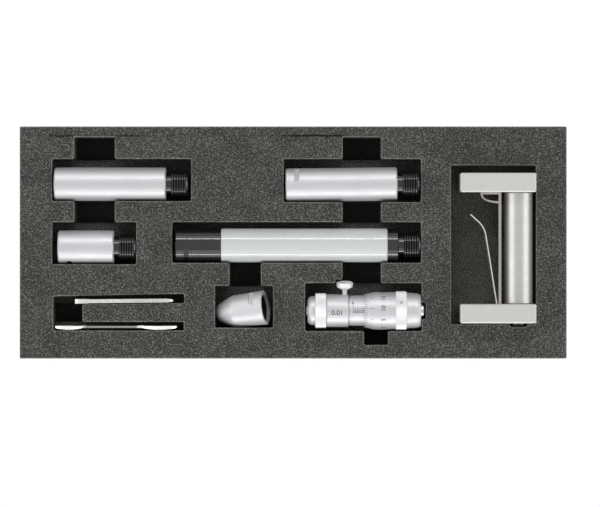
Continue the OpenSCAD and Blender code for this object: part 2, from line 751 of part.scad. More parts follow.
// The leaf leans away from the band and turns over at its free end, by an angle in degrees
leaf_rise = 30.7;
leaf_lean = 4.9;
leaf_turn_r = 10.7;
leaf_tail = 4.6;
leaf_end_angle = 48;
module gauge_leaf() {
  a0 = atan(leaf_lean / leaf_rise);
  foot = [leaf_x, jaw_w];
  bend = foot + [-leaf_lean, leaf_rise];
  last = bend + leaf_turn_r * [cos(leaf_end_angle) - cos(a0), sin(leaf_end_angle) - sin(a0)];
  color(spring_steel) at_gauge() translate([0, 0, (jaw_h - leaf_h) / 2])
    linear_extrude(leaf_h) strip_outline(concat(
      [foot - leaf_seat * [-sin(a0), cos(a0)]],
      [for (a = [a0 : (leaf_end_angle - a0) / 6 : leaf_end_angle])
        bend + leaf_turn_r * [cos(a) - cos(a0), sin(a) - sin(a0)]],
      [last + leaf_tail * [-sin(leaf_end_angle), cos(leaf_end_angle)]]), leaf_t);
}

// Hook spanner, standing on edge: a handle along the top, an arm that curves down and a tooth
module at_hook() {
  translate([x_left + hook_in, y_slot_1 + slot_ledge, z_floor + rest_gap])
    rotate([0, 0, hook_yaw]) children();
}

module hook_outline() {
  cx = hook_arm_t + hook_in_r;
  cz = 2.4;
  low = hook_h - hook_handle_w;
  difference() {
    polygon([[0, 0], [0, hook_h - 2], [0.6, hook_h - 0.6], [2, hook_h], [hook_l - 2.4, hook_h],
      [hook_l - 0.6, hook_h - 1], [hook_l, hook_h - 2.4], [hook_l, low + 2.4],
      [hook_l - 2.4, low], [cx, low], [cx, 0]]);
    difference() {
      translate([cx, cz]) circle(r = hook_in_r);
      square([hook_arm_t + hook_tooth_l, key_slot_w - 0.4]);
    }
  }
}

// Plan of the hook spanner: thick at the hook, slimmer in the handle, tapered at the tip
module hook_plan() {
  side = (hook_t - hook_handle_t) / 2;
  polygon([[0, 0], [5.8, 0], [7, side], [hook_l - 3.2, side], [hook_l, hook_t / 2 - 0.4],
    [hook_l, hook_t / 2 + 0.4], [hook_l - 3.2, hook_t - side], [7, hook_t - side],
    [5.8, hook_t], [0, hook_t]]);
}

module hook_spanner() {
  color(satin) at_hook() intersection() {
    translate([0, hook_t + 1, 0]) rotate([90, 0, 0]) linear_extrude(hook_t + 2) hook_outline();
    translate([0, 0, -1]) linear_extrude(hook_h + 2) hook_plan();
  }
}

// Open-end spanner, standing on edge: two bowed jaw ends on a thin shank
module at_open() {
  translate([x_left + open_in, y_slot_2 + 0.35, z_floor + rest_gap]) children();
}

// A jaw end of length l, its opening at x = 0
module open_head(l, jaw) {
  intersection() {
    translate([0, open_t + 1, 0]) rotate([90, 0, 0]) linear_extrude(open_t + 2) difference() {
      polygon([[0, 1], [2, 0], [l * 0.55, 0], [l, 2], [l, open_h - 2], [l * 0.55, open_h],
        [2, open_h], [0, open_h - 1]]);
      translate([0, open_h / 2]) polygon([[-1, -jaw / 2], [open_jaw_l, -jaw / 2],
        [open_jaw_l + open_jaw_end, open_jaw_end - jaw / 2],
        [open_jaw_l + open_jaw_end, jaw / 2 - open_jaw_end], [open_jaw_l, jaw / 2],
        [-1, jaw / 2]]);
    }
    translate([0, 0, -1]) linear_extrude(open_h + 2) polygon(concat([[l, open_t], [0, open_t]],
      [for (i = [0 : 10]) [l * i / 10, open_bow * pow(i / 5 - 1, 2)]]));
  }
  translate([l - 0.5, open_bow, (open_h - open_neck_w) / 2])
    cube([open_neck_l + 0.5, open_t + 0.15 - open_bow, open_neck_w]);
}

module open_spanner() {
  color(satin) at_open() {
    open_head(open_head_left_l, open_jaw);
    translate([open_l, 0, 0]) mirror([1, 0, 0]) open_head(open_head_right_l, open_jaw_small);
    translate([open_head_left_l, open_t - open_shank_t, (open_h - open_shank_w) / 2])
      cube([open_l - open_head_left_l - open_head_right_l, open_shank_t, open_shank_w]);
  }
}

// Foam. Each pocket is [x0, y0, x1, y1].
x_recess_a = x_left + recess_a_in;
x_recess_b = x_right - recess_b_in - recess_b_w;
y_recess_top = tray_w / 2 - recess_rim;
x_slots = x_left + slot_in;
x_recess_cap = cap_x0 + recess_cap_in;
x_recess_head = x_head + u_thimble;
y_wall_100 = y_row_2 + long_wall_up;
y_wall_50_right = y_row_1 - right_wall_down;
x_lock = x_head + u_lock;
y_lock = y_head + lock_reach * cos(lock_tilt) + lock_head_d / 2 * sin(lock_tilt);

pockets = [
  [x_left, y_row_1, x_left + pocket_l(rod_mid, gap_50_left), y_row_1 + pocket_w],
  [x_50_right, y_wall_50_right, x_right, y_row_1 + pocket_w],
  [x_left, y_row_2, x_left + pocket_25_l, y_row_2 + pocket_w],
  [x_100, y_wall_100, x_right, y_row_2 + pocket_w],
  [x_head - head_gap[0], y_row_3, x_right + head_gap[1], y_row_3 + head_pocket_w],
  [cap_x0, cap_y0, cap_x1, cap_y1],
  [x_gauge, y_gauge, x_gauge + gauge_pocket_w, y_gauge + gauge_l + gauge_gap_near + gauge_gap_far],
  [x_slots, y_slot_2, x_left + slot_end_2, y_slot_2 + slot_2_w],
  [x_lock - lock_head_d / 2 - notch_gap, y_row_3 + head_pocket_w - 1,
    x_lock + lock_head_d / 2 + notch_gap, y_lock + notch_gap],
  [x_right, y_head - spindle_d / 2 - notch_gap, x_right + tip_l + notch_gap,
    y_head + spindle_d / 2 + notch_gap],
  [gauge_x + bar_x - gauge_screw_d / 2 - notch_gap, gauge_y - gauge_screw_h - notch_gap,
    gauge_x + bar_x + gauge_screw_d / 2 + notch_gap, y_gauge + 1]
];

recesses = [
  [x_recess_a, y_row_2 + pocket_w - 1, x_recess_a + recess_a_w, y_recess_top],
  [x_recess_b, y_row_3 + head_pocket_w - 1, x_recess_b + recess_b_w, y_recess_top],
  [x_recess_cap, cap_y1 - 1, x_recess_cap + recess_cap_w, y_wall_100 + 1],
  [x_recess_head, y_row_3 - recess_head_reach, x_recess_head + recess_head_w, y_row_3 + 1],
  [x_slots, y_slot_2, x_slots + recess_spanner_w, y_slot_1 + slot_1_w - 0.1]
];

// Parts of the finger recesses that go down to the sheet, clear of the tools' beds
wells = [
  [x_recess_a, y_row_1 + pocket_w, x_recess_a + recess_a_w, y_recess_top],
  [x_recess_a, y_row_2 + pocket_w, x_recess_a + recess_a_w, y_row_1],
  [x_recess_b, y_row_1 + pocket_w, x_recess_b + recess_b_w, y_recess_top],
  [x_recess_b, y_row_2 + pocket_w, x_recess_b + recess_b_w, y_wall_50_right],
  [x_recess_b, y_row_3 + head_pocket_w, x_recess_b + recess_b_w, y_wall_100],
  [x_recess_cap, cap_y1, x_recess_cap + recess_cap_w, y_wall_100],
  [x_recess_head, y_row_3 - recess_head_reach, x_recess_head + recess_head_w, y_row_3],
  [x_slots, y_slot_2 + slot_2_w, x_slots + recess_spanner_w, y_slot_1 + slot_ledge]
];

module tray_block(z, t) {
  translate([-tray_l / 2, -tray_w / 2, z]) cube([tray_l, tray_w, t]);
}

module holes(list, z, t) {
  for (p = list) translate([p[0], p[1], z - 1]) cube([p[2] - p[0], p[3] - p[1], t + 2]);
}

// The slot of the hook spanner, whose walls run slightly uphill
module hook_slot(z, t) {
  translate([0, 0, z - 1]) linear_extrude(t + 2) polygon([[x_slots, y_slot_1],
    [x_left + slot_end_1, y_slot_1 + slot_1_rise[0]],
    [x_left + slot_end_1, y_slot_1 + slot_1_w + slot_1_rise[1]], [x_slots, y_slot_1 + slot_1_w]]);
}

module base_sheet() { color(sheet_black) tray_block(0, sheet_t); }

module foam_floor_layer() {
  color(foam_dark) difference() {
    tray_block(sheet_t, floor_t);
    holes(wells, sheet_t, floor_t);
  }
}

module foam_cut_layer() {
  color(foam_grey) difference() {
    tray_block(z_floor, cut_t);
    holes(concat(pockets, recesses), z_floor, cut_t);
    hook_slot(z_floor, cut_t);
  }
}

base_sheet();
foam_floor_layer();
foam_cut_layer();
rod_50_left_tube();
rod_50_left_end();
rod_50_left_bush();
rod_50_left_core();
rod_50_right_tube();
rod_50_right_end();
rod_50_right_bush();
rod_50_right_core();
rod_25_tube();
rod_25_end();
rod_25_bush();
rod_25_core();
rod_100_socket();
rod_100_tube();
rod_100_end();
rod_100_bush();
rod_100_core();
end_cap_shell();
end_cap_contact();
head_contact();
head_clamp_ring();
head_body();
head_sleeve();
head_adjusting_nut();
head_lock_screw();
head_lock_pad();
head_spindle();
thimble();
thimble_ring();
thimble_end();
gauge_jaw_far();
gauge_jaw_near();
gauge_bar();
gauge_screw();
gauge_band();
gauge_leaf();
hook_spanner();
open_spanner();
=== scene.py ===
# Inside micrometer tools lying in their cut foam insert, seen from straight above.
# Everything is in metres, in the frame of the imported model: X along the insert, Y across it,
# Z up, with the origin under the middle of the insert.
import math

import bmesh
import bpy
from mathutils import Matrix, Vector, noise


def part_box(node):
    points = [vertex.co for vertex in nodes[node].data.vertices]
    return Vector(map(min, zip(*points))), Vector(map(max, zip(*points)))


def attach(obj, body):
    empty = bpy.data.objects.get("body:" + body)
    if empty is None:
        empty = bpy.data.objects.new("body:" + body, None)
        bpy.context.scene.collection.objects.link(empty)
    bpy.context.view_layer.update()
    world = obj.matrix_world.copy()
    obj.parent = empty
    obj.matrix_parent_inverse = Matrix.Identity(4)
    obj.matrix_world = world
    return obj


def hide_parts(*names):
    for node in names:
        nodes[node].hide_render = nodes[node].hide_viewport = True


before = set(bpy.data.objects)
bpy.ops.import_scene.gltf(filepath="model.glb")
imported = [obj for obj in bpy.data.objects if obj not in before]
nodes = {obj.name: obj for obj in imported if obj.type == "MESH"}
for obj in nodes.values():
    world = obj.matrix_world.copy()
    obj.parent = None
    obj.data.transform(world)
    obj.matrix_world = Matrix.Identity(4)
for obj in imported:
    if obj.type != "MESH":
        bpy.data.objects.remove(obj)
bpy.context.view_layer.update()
MM = 0.001
# Heights of the sheet, of the bed that the tools lie on, and of the top of the foam
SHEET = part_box("base_sheet")[1][2]
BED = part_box("foam_floor_layer")[1][2]
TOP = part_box("foam_cut_layer")[1][2]
# The axis that the pieces of the micrometer head share, and the place of its left contact
HEAD_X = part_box("head_contact")[0][0]
HEAD_Y = (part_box("head_sleeve")[0][1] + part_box("head_sleeve")[1][1]) / 2
HEAD_Z = (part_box("head_sleeve")[0][2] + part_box("head_sleeve")[1][2]) / 2
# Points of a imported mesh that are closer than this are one
WELD = 0.003 * MM
# Marks on the head, in millimetres: how thick they are, how far they stand out of the surface,
# how wide a line is, and how finely they are cut to bend round it. The real lines are about
# 0.1 mm wide, and are drawn wider, so that they show.
MARK_DEPTH = 0.04
MARK_PROUD = 0.012
MARK_WIDTH = 0.2
MARK_STEP = 0.3
# Diameters, in millimetres, of the turned surfaces that carry marks
BODY_D = 14.9
SLEEVE_D = 13.7
THIMBLE_D = 16.8
RING_D = 17.5


# Camera, straight above and a little right of and below the middle, as in the photograph
def place_camera():
    """A long lens, so high up that the sides of the tools are hardly seen."""
    cam = bpy.data.cameras.new("camera")
    cam.sensor_width = 36
    cam.lens = 187.8
    obj = bpy.data.objects.new("camera", cam)
    height_over_foam = 1.402
    obj.location = (3.06 * MM, -4.92 * MM, TOP + height_over_foam)
    bpy.context.scene.collection.objects.link(obj)
    bpy.context.scene.camera = obj


# Lamps and sky
def hang_lamp(name, toward, from_zenith, distance, long_side, short_side, power):
    """A rectangle of light that hangs on an arc over the tools and faces them.

    toward is its direction in plan, and from_zenith its degrees down from straight above."""
    lamp = bpy.data.lights.new(name, "AREA")
    lamp.shape = "RECTANGLE"
    lamp.size = long_side
    lamp.size_y = short_side
    lamp.energy = power
    obj = bpy.data.objects.new(name, lamp)
    a = math.radians(from_zenith)
    out = Vector((toward[0] * math.sin(a), toward[1] * math.sin(a), math.cos(a)))
    obj.location = out * distance
    # The long side of a lamp stays level
    level = Vector((toward[1], -toward[0], 0)).normalized()
    up = out.cross(level)
    obj.rotation_euler = Matrix((level, up, out)).transposed().to_euler()
    bpy.context.scene.collection.objects.link(obj)


def light_studio():
    """A broad and a narrow lamp on each long side, one at each end, and a white sky.

    The narrow lamps draw the thin highlights along the tubes. The sky looks white, and lights
    the tools with a quarter of that."""
    hang_lamp("soft_far", (0, 1), 54, 2.2, 3.2, 0.9, 11)
    hang_lamp("strip_far", (0, 1), 45, 2.1, 3.2, 0.09, 21)
    hang_lamp("soft_near", (0, -1), 60, 2.2, 3.2, 2.0, 27)
    hang_lamp("strip_near", (0, -1), 67, 2.1, 3.2, 0.1, 21)
    hang_lamp("side_right", (1, 0), 62, 2.3, 1.6, 1.6, 17)
    hang_lamp("side_left", (-1, 0), 56, 2.3, 1.6, 1.6, 18)
    world = bpy.data.worlds.new("studio")
    bpy.context.scene.world = world
    world.use_nodes = True
    tree = world.node_tree
    tree.nodes.clear()
    level = add(tree, "ShaderNodeMapRange", {"Value": seen_directly(tree), "To Min": 0.25,
                                             "To Max": 1.0})
    back = add(tree, "ShaderNodeBackground", {"Color": (1, 1, 1, 1), "Strength": level.outputs[0]})
    add(tree, "ShaderNodeOutputWorld", {"Surface": back.outputs[0]})
    world.cycles.sampling_method = "NONE"


# Nodes and colours
def add(tree, kind, links=None, **settings):
    """Adds one node, sets its attributes, and fills or links its inputs."""
    node = tree.nodes.new(kind)
    for key, value in settings.items():
        setattr(node, key, value)
    for key, value in (links or {}).items():
        if isinstance(value, bpy.types.NodeSocket):
            tree.links.new(value, node.inputs[key])
        else:
            node.inputs[key].default_value = value
    return node


def colour(hex_value):
    """sRGB hex to linear RGBA."""
    parts = [int(hex_value[i:i + 2], 16) / 255 for i in (1, 3, 5)]
    return tuple(c / 12.92 if c <= 0.04045 else ((c + 0.055) / 1.055) ** 2.4 for c in parts) + (1,)


def seen_directly(tree):
    """1 for a ray from the camera, a mirror or glass, and 0 for one that only carries light."""
    path = add(tree, "ShaderNodeLightPath").outputs
    seen = add(tree, "ShaderNodeMath", {0: path["Is Camera Ray"], 1: path["Is Glossy Ray"]},
               operation="MAXIMUM").outputs[0]
    return add(tree, "ShaderNodeMath", {0: seen, 1: path["Is Transmission Ray"]},
               operation="MAXIMUM").outputs[0]


def ramp(tree, value, stops):
    """A colour ramp with stops of (position, hex colour)."""
    node = add(tree, "ShaderNodeValToRGB", {"Fac": value})
    while len(node.color_ramp.elements) < len(stops):
        node.color_ramp.elements.new(0.5)
    for element, (position, hex_value) in zip(node.color_ramp.elements, stops):
        element.position = position
        element.color = colour(hex_value)
    return node.outputs["Color"]


def new_finish(name):
    """A material with one shader, and the coordinates that its patterns are laid out on."""
    mat = bpy.data.materials.new(name)
    mat.use_nodes = True
    tree = mat.node_tree
    tree.nodes.clear()
    place = add(tree, "ShaderNodeTexCoord").outputs["Object"]
    shader = add(tree, "ShaderNodeBsdfPrincipled")
    add(tree, "ShaderNodeOutputMaterial", {"Surface": shader.outputs[0]})
    return mat, tree, place, shader


def stretched(tree, place, per_mm):
    """Object coordinates with so many pattern steps per millimetre along each axis."""
    return add(tree, "ShaderNodeMapping", {"Vector": place,
                                           "Scale": tuple(s / MM for s in per_mm)}).outputs[0]


def machined_metal(name, base, worn, rough, grain, depth, metallic=1.0):
    """A turned or ground metal: fine tool lines as colour, roughness and bump.

    grain gives the steps per millimetre along X, Y and Z, so the fast axis is across the lines.
    A metallic below 1 stands for a blasted or knurled surface, which also scatters light."""
    mat, tree, place, shader = new_finish(name)
    tool_marks(tree, place, shader, base, worn, rough, grain, depth)
    shader.inputs["Metallic"].default_value = metallic
    return mat


def coated_metal(name, base, worn, rough, grain, depth, gloss=0.5):
    """A metal under an oxide or anodised skin: the skin has its own colour and a thin gloss."""
    mat, tree, place, shader = new_finish(name)
    tool_marks(tree, place, shader, base, worn, rough, grain, depth)
    shader.inputs["Specular IOR Level"].default_value = gloss
    return mat


def spanner_finish(name, polished, dull, rough):
    """Plate that is polished on the two heads of the open spanner and dull along its shank."""
    mat, tree, place, shader = new_finish(name)
    tool_marks(tree, place, shader, dull, dull, rough, (0.6, 3, 3), 0.003)
    parts = add(tree, "ShaderNodeSeparateXYZ", {"Vector": place})
    along = add(tree, "ShaderNodeMapRange", {"Value": parts.outputs["X"], "From Min": -107 * MM,
                                             "From Max": -52 * MM})
    shade = ramp(tree, along.outputs[0], [(0.21, polished), (0.26, dull), (0.66, dull),
                                          (0.685, polished)])
    tree.links.new(shade, shader.inputs["Base Color"])
    shader.inputs["Metallic"].default_value = 0.85
    return mat


def tool_marks(tree, place, shader, base, worn, rough, grain, depth):
    """Fine lines with broad clouds over them, as colour and roughness, and the lines as bump.

    depth is the height of the lines in millimetres. The clouds are about 3 by 8 mm wide."""
    lines = add(tree, "ShaderNodeTexNoise", {"Vector": stretched(tree, place, grain), "Scale": 1.0,
                                             "Detail": 3.0, "Roughness": 0.6})
    clouds = add(tree, "ShaderNodeTexNoise", {"Vector": stretched(tree, place, (0.12, 0.3, 0.3)),
                                              "Scale": 1.0, "Detail": 2.0})
    both = add(tree, "ShaderNodeMix", {"Factor": 0.35, "A": lines.outputs["Fac"],
                                       "B": clouds.outputs["Fac"]})
    shade = ramp(tree, both.outputs[0], [(0.35, worn), (0.65, base)])
    tree.links.new(shade, shader.inputs["Base Color"])
    gloss = add(tree, "ShaderNodeMapRange", {"Value": both.outputs[0], "From Min": 0.35,
                                             "From Max": 0.65, "To Min": rough * 1.1,
                                             "To Max": rough * 0.9})
    tree.links.new(gloss.outputs[0], shader.inputs["Roughness"])
    bump = add(tree, "ShaderNodeBump", {"Height": lines.outputs["Fac"], "Strength": 0.6,
                                        "Distance": depth * MM})
    tree.links.new(bump.outputs[0], shader.inputs["Normal"])


def foam_finish(name, pore, wall, glint, slit=False):
    """Closed-cell polyethylene foam: dark cell mouths between matte walls with light edges.

    The real cells are about 0.4 mm wide, and are drawn about 0.6 mm wide, so that they show."""
    mat, tree, place, shader = new_finish(name)
    cells = add(tree, "ShaderNodeTexVoronoi", {"Vector": stretched(tree, place, (1.7, 1.7, 1.7)),
                                               "Scale": 1.0, "Randomness": 1.0})
    grit = add(tree, "ShaderNodeTexNoise", {"Vector": stretched(tree, place, (1.5, 1.5, 1.5)),
                                            "Scale": 1.0, "Detail": 3.0, "Roughness": 0.8})
    drift = add(tree, "ShaderNodeTexNoise", {"Vector": stretched(tree, place, (0.08, 0.08, 0.08)),
                                             "Scale": 1.0, "Detail": 2.0})
    mixed = add(tree, "ShaderNodeMix", {"Factor": 0.65, "A": cells.outputs["Distance"],
                                        "B": grit.outputs["Fac"]})
    mixed = add(tree, "ShaderNodeMix", {"Factor": 0.1, "A": mixed.outputs[0],
                                        "B": drift.outputs["Fac"]})
    shade = ramp(tree, mixed.outputs[0], [(0.36, pore), (0.5, wall), (0.64, glint)])
    if slit:
        # The knife slit is painted near black, as the shade inside it
        # Sockets 6 and 7 are the two colours of a Mix node
        shade = add(tree, "ShaderNodeMix", {0: knife_slit_shade(tree, place), 6: shade,
                                            7: colour("#0A0A09")}, data_type="RGBA").outputs[2]
    tree.links.new(shade, shader.inputs["Base Color"])
    bump = add(tree, "ShaderNodeBump", {"Height": mixed.outputs[0], "Strength": 0.5,
                                        "Distance": 0.25 * MM})
    tree.links.new(bump.outputs[0], shader.inputs["Normal"])
    shader.inputs["Roughness"].default_value = 0.95
    shader.inputs["Specular IOR Level"].default_value = 0.2
    return mat


def knife_slit_shade(tree, place):
    """Painted shade of a knife slit in the top of the foam, 47.9 mm from the middle, darker
    where the slit is deepest.

    The slit is hair thin, and its painted shade is drawn 0.7 mm wide, so that it shows."""
    parts = add(tree, "ShaderNodeSeparateXYZ", {"Vector": place})
    waver = add(tree, "ShaderNodeTexNoise", {"Vector": stretched(tree, place, (0.15, 0, 0)),
                                             "Scale": 1.0, "Detail": 3.0, "Roughness": 0.6})
    middle = add(tree, "ShaderNodeMapRange", {"Value": waver.outputs["Fac"], "From Min": 0.3,
                                              "From Max": 0.7, "To Min": 47.5 * MM,
                                              "To Max": 48.2 * MM})
    off = add(tree, "ShaderNodeMath", {0: parts.outputs["Y"], 1: middle.outputs[0]},
              operation="SUBTRACT")
    off = add(tree, "ShaderNodeMath", {0: off.outputs[0]}, operation="ABSOLUTE")
    line = add(tree, "ShaderNodeMapRange", {"Value": off.outputs[0], "From Min": 0.22 * MM,
                                            "From Max": 0.6 * MM, "To Min": 1.0, "To Max": 0.0})
    along = add(tree, "ShaderNodeMapRange", {"Value": parts.outputs["X"], "From Min": -125 * MM,
                                             "From Max": 125 * MM})
    # How dark the painted slit shade is along the insert, darkest where the slit is deepest
    depth = ramp(tree, along.outputs[0], [
        (0.060, "#000000"), (0.068, "#F0F0F0"), (0.100, "#F0F0F0"), (0.108, "#585858"),
        (0.180, "#585858"), (0.190, "#E8E8E8"), (0.228, "#D8D8D8"), (0.240, "#686868"),
        (0.470, "#686868"), (0.500, "#FFFFFF"), (0.585, "#FFFFFF"), (0.595, "#202020")])
    return add(tree, "ShaderNodeMath", {0: line.outputs[0], 1: depth},
               operation="MULTIPLY").outputs[0]


# Finishes
def make_finishes():
    """Every finish by its short name, which FINISH_OF uses."""
    f = {}
    # Satin chrome plate over turned steel: bright and cool, with a soft broad shine
    f["satin_chrome"] = machined_metal("satin chrome plated steel", "#B7B8BA", "#AFB0B2", 0.44,
                                       (6, 0.4, 0.4), 0.004, metallic=0.42)
    # The same plate over a fine knurl, whose thousands of points blur the shine into an even
    # white; its paler colour than the smooth plate is a painted sheen
    f["knurled_chrome"] = machined_metal("satin chrome over fine knurling", "#D8D9DA", "#C7C8C9",
                                         0.62, (3, 3, 3), 0.02, metallic=0.5)
    # Clear anodised aluminium tube: a matte pale grey with two thin highlights
    f["pale_aluminium"] = coated_metal("matte anodised aluminium", "#BEC1C0", "#B6BAB8", 0.15,
                                      (5, 0.4, 0.4), 0.003, gloss=0.65)
    # Black oxide on turned steel: nearly black, with a narrow shine
    f["blackened_steel"] = coated_metal("black oxide steel", "#191817", "#131211", 0.1,
                                       (6, 0.4, 0.4), 0.003, gloss=0.55)
    # Ground steel blocks: fine straight grinding lines along the block
    f["ground_steel"] = machined_metal("surface ground steel", "#C2C1BD", "#B5B4B0", 0.4,
                                       (0.25, 5, 5), 0.004)
    # Spring steel leaf: the same steel as the strip, drawn paler as a painted highlight
    f["lit_spring_leaf"] = machined_metal("spring steel leaf, painted bright as lit", "#D2D0C9", "#C2C0B9", 0.26,
                                        (4, 0.3, 0.3), 0.003, metallic=0.9)
    # Spring steel strip: the same steel as the leaf, drawn darker than it
    f["spring_steel"] = machined_metal("spring steel strip, drawn darker than the leaf", "#A9A69E", "#99968E", 0.26,
                                       (4, 0.3, 0.3), 0.003)
    # Nickel plate on a pressed blank, with small pits: pale, slightly warm and mottled
    f["pressed_plate"] = machined_metal("nickel plated pressed steel", "#D6D5D1", "#A9A8A3", 0.36,
                                        (0.9, 1.6, 1.6), 0.01, metallic=0.85)
    # The same plate over a forged blank, whose heads are polished and whose shank stays dull
    f["forged_plate"] = spanner_finish("nickel plated forged steel", "#EAE9E6", "#94938E", 0.33)
    # Bright turned steel bar of the gauge, its lines run round the bar along Y
    f["turned_bar"] = machined_metal("bright turned steel bar", "#B0AFAB", "#A5A4A0", 0.38,
                                     (0.4, 6, 0.4), 0.004, metallic=0.7)
    # Brass pad under the lock screw
    f["brass"] = machined_metal("turned brass", "#D9B65C", "#C7A24A", 0.3, (4, 0.4, 0.4), 0.003)
    # Upper foam layer, cut through for the tools, with the painted shade of a knife slit
    f["cut_foam"] = foam_finish("cut polyethylene foam, upper layer", "#151514", "#383836",
                                "#686864", slit=True)
    # Lower foam layer, seen deep in the pockets
    f["bed_foam"] = foam_finish("polyethylene foam, bed layer", "#262625", "#464643", "#646461")
    # Black sheet glued under the foam
    f["black_sheet"] = foam_finish("black polyethylene sheet", "#3A3A38", "#4F4F4C", "#646461")
    # The soft rims of the upper layer: paler and finer, a painted highlight where the rounded rims
    # catch the light
    f["foam_rim"] = foam_finish("lit rim of polyethylene foam, painted paler", "#353532", "#5E5E5A", "#80807B")
    # Oiled bore with its thread: drawn near black, the oiled steel with painted shade deep in the
    # bore, and a dull shine
    f["oiled_bore"] = coated_metal("oiled steel thread with painted bore shade", "#1B1B1B", "#121212", 0.35,
                                   (6, 0.4, 0.4), 0.003)
    # Engraved lines filled with black lacquer
    f["engraving"] = coated_metal("black lacquer in engraved lines", "#3C3C3C", "#323232", 0.5,
                                  (3, 3, 3), 0.002)
    return f


FINISH_OF = {
    "satin_chrome": ["rod_50_left_tube", "rod_50_right_tube", "rod_25_tube", "end_cap_shell",
                     "head_contact", "head_body", "head_sleeve", "thimble", "thimble_end"],
    "knurled_chrome": ["head_clamp_ring", "head_lock_screw", "thimble_ring"],
    "pale_aluminium": ["rod_100_tube"],
    # The gauge screw takes this near-black finish as painted shade, for the shade it lies in under
    # the near jaw
    "blackened_steel": ["rod_50_left_end", "rod_50_right_end", "rod_25_end", "rod_100_socket",
                        "rod_100_end", "gauge_screw"],
    "ground_steel": ["gauge_jaw_far", "gauge_jaw_near", "rod_50_left_bush", "rod_50_right_bush",
                     "rod_25_bush", "rod_100_bush", "rod_50_left_core", "rod_50_right_core",
                     "rod_25_core", "rod_100_core", "end_cap_contact", "head_adjusting_nut",
                     "head_spindle"],
    "spring_steel": ["gauge_band"],
    "lit_spring_leaf": ["gauge_leaf"],
    "pressed_plate": ["hook_spanner"],
    "forged_plate": ["open_spanner"],
    "turned_bar": ["gauge_bar"],
    "brass": ["head_lock_pad"],
    "black_sheet": ["base_sheet"],
    "cut_foam": ["foam_cut_layer"],
    "bed_foam": ["foam_floor_layer"],
}


def dress_node(name, mat):
    """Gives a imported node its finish, and rounds the shading of its turned faces."""
    obj = nodes[name]
    obj.data.materials.clear()
    obj.data.materials.append(mat)
    for face in obj.data.polygons:
        face.use_smooth = True
        face.material_index = 0
    weld = obj.modifiers.new("weld", "WELD")
    weld.merge_threshold = WELD
    split = obj.modifiers.new("crisp edges", "EDGE_SPLIT")
    split.split_angle = math.radians(30)


def darken_bore(name, mat, start, along):
    """Gives the faces inside a bore the darker finish, which paints the shade deep in the bore,
    from a point on its axis and its direction.

    The lead-in behind the mouth, where the thread has not begun and light reaches, stays bright."""
    lead_in = 1.4 * MM
    bore_radius = 6.6 * MM
    mesh = nodes[name].data
    mesh.materials.append(mat)
    along = Vector(along).normalized()
    mouth = max((v.co - Vector(start)).dot(along) for v in mesh.vertices)
    for face in mesh.polygons:
        out = face.center - Vector(start)
        if mouth - out.dot(along) < lead_in:
            continue
        out -= along * out.dot(along)
        square_to_bore = abs(face.normal.dot(along)) >= 0.99
        if out.length < bore_radius and face.normal.dot(out) <= 0 and not square_to_bore:
            face.material_index = 1


# Foam
def rim_of(node, height, convex, concave):
    """The outlines of a foam layer's level face at a height, with rounded corners.

    A foam corner that points into a pocket gets the radius convex, one in a pocket's corner
    the radius concave. The outlines come back as rings of points, the outermost first."""
    bm = bmesh.new()
    bm.from_mesh(nodes[node].data)
    bmesh.ops.remove_doubles(bm, verts=bm.verts[:], dist=WELD)
    bm.edges.index_update()
    level = {f for f in bm.faces
             if f.normal.z > 0.9 and abs(f.calc_center_median().z - height) < 0.01 * MM}
    left = {e for e in bm.edges if sum(f in level for f in e.link_faces) == 1}
    rings = []
    while left:
        edge = min(left, key=lambda e: e.index)
        left.remove(edge)
        first, here = edge.verts
        ring = [first.co.copy()]
        while here is not first:
            ring.append(here.co.copy())
            edge = next(e for e in here.link_edges if e in left)
            left.remove(edge)
            here = edge.other_vert(here)
        rings.append(ring)
    bm.free()
    rings.sort(key=lambda r: -max(p.x for p in r) + min(p.x for p in r))
    return [round_corners(ring, convex, concave, i == 0) for i, ring in enumerate(rings)]


def round_corners(ring, convex, concave, outermost):
    """Drops points in the middle of straight edges and rounds the corners of one outline.

    Long edges then get points again, every 2.5 mm, for the unevenness of the cut."""
    area = sum(a.x * b.y - b.x * a.y for a, b in zip(ring, ring[1:] + ring[:1]))
    if (area > 0) != outermost:
        ring = ring[::-1]
    count = len(ring)
    turns = []
    for i, p in enumerate(ring):
        a = (p - ring[i - 1]).normalized()
        b = (ring[(i + 1) % count] - p).normalized()
        turns.append(a.x * b.y - a.y * b.x)
    # A turn of less than about 12 degrees is no corner
    corners = [(p, t) for p, t in zip(ring, turns) if abs(t) > 0.2]
    bm = bmesh.new()
    verts = [bm.verts.new(p) for p, t in corners]
    bm.faces.new(verts)
    # The foam is on the left of every outline, so a left turn is a corner of foam. The insert's
    # own corners have a radius of 0.6 mm, and no corner takes up half of its shorter edge.
    for vert, (p, turn) in zip(verts, corners):
        room = 0.45 * min(e.calc_length() for e in vert.link_edges)
        radius = min(0.6 * MM if outermost else convex if turn > 0 else concave, room)
        bmesh.ops.bevel(bm, geom=[vert], offset=radius, offset_type="OFFSET", segments=4,
                        profile=0.5, affect="VERTICES", material=-1, clamp_overlap=False)
    for edge in [e for e in bm.edges if e.calc_length() > 3 * MM]:
        cuts = int(edge.calc_length() / (2.5 * MM))
        bmesh.ops.subdivide_edges(bm, edges=[edge], cuts=cuts)
    face = bm.faces[:][0]
    points = [l.vert.co.copy() for l in face.loops]
    bm.free()
    return points


